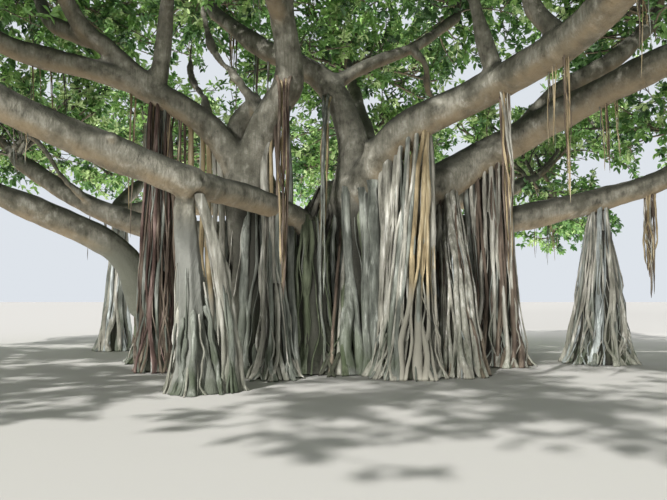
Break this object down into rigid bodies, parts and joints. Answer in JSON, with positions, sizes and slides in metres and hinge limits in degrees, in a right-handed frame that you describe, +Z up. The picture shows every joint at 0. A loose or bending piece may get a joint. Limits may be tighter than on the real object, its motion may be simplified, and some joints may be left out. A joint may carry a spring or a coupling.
{
  "type": "banyan tree",
  "caption": "Broad banyan tree: a fluted trunk of fused roots, thick spreading boughs, prop roots standing as pillars, hanging roots and a leafy dome.",
  "frame": {"origin": "at ground level, in the middle of the flat cut under the trunk", "axes": "+Z up; -Y is the front, the side the picture shows; +X to the right seen from the front"},
  "size_m": [33.866, 30.2988, 15.0364],
  "materials": {
    "bark": "smooth grey-beige bark, matt",
    "root_bark": "grey aerial roots, matt",
    "red_root": "reddish brown young roots, matt",
    "leaf": "green leaves, slightly glossy"
  },
  "bodies": {
    "root": {"bough_back": "bark", "bough_back_high": "bark", "bough_back_left": "bark", "bough_back_right": "bark", "bough_centre_bent": "bark", "bough_centre_upright": "bark", "bough_left_back": "bark", "bough_left_front": "bark", "bough_left_high": "bark", "bough_left_link": "bark", "bough_left_low": "bark", "bough_right_high": "bark", "bough_right_low": "bark", "bough_right_middle": "bark", "foliage_back": "leaf", "foliage_back_high": "leaf", "foliage_back_left": "leaf", "foliage_back_right": "leaf", "foliage_front": "leaf", "foliage_front_high": "leaf", "foliage_front_left": "leaf", "foliage_front_right": "leaf", "foliage_high_front_left": "leaf", "foliage_high_front_right": "leaf", "foliage_high_left": "leaf", "foliage_high_right": "leaf", "foliage_left": "leaf", "foliage_left_back": "leaf", "foliage_left_high": "leaf", "foliage_right": "leaf", "foliage_right_front": "leaf", "foliage_top_front_left": "leaf", "foliage_top_front_right": "leaf", "foliage_top_left": "leaf", "foliage_top_right": "leaf", "hanging_roots_centre": "root_bark", "hanging_roots_front": "root_bark", "hanging_roots_middle": "root_bark", "hanging_roots_outer": "root_bark", "hanging_roots_right": "root_bark", "limb_front_over": "bark", "limb_left_arched": "bark", "limb_left_outer": "bark", "limb_left_upright": "bark", "limb_right_crossing": "bark", "limb_right_front": "bark", "limb_right_upper": "bark", "limb_right_upright": "bark", "pillar_back_left": "root_bark", "pillar_back_right": "root_bark", "pillar_front_left": "root_bark", "pillar_right": "root_bark", "root_front_left": "root_bark", "roots_middle_front": "root_bark", "roots_red_curtain": "red_root", "roots_right_cluster": "root_bark", "roots_right_forked": "root_bark", "roots_right_front": "root_bark", "stem_left": "root_bark", "trunk": "bark"}
  },
  "joints": []
}
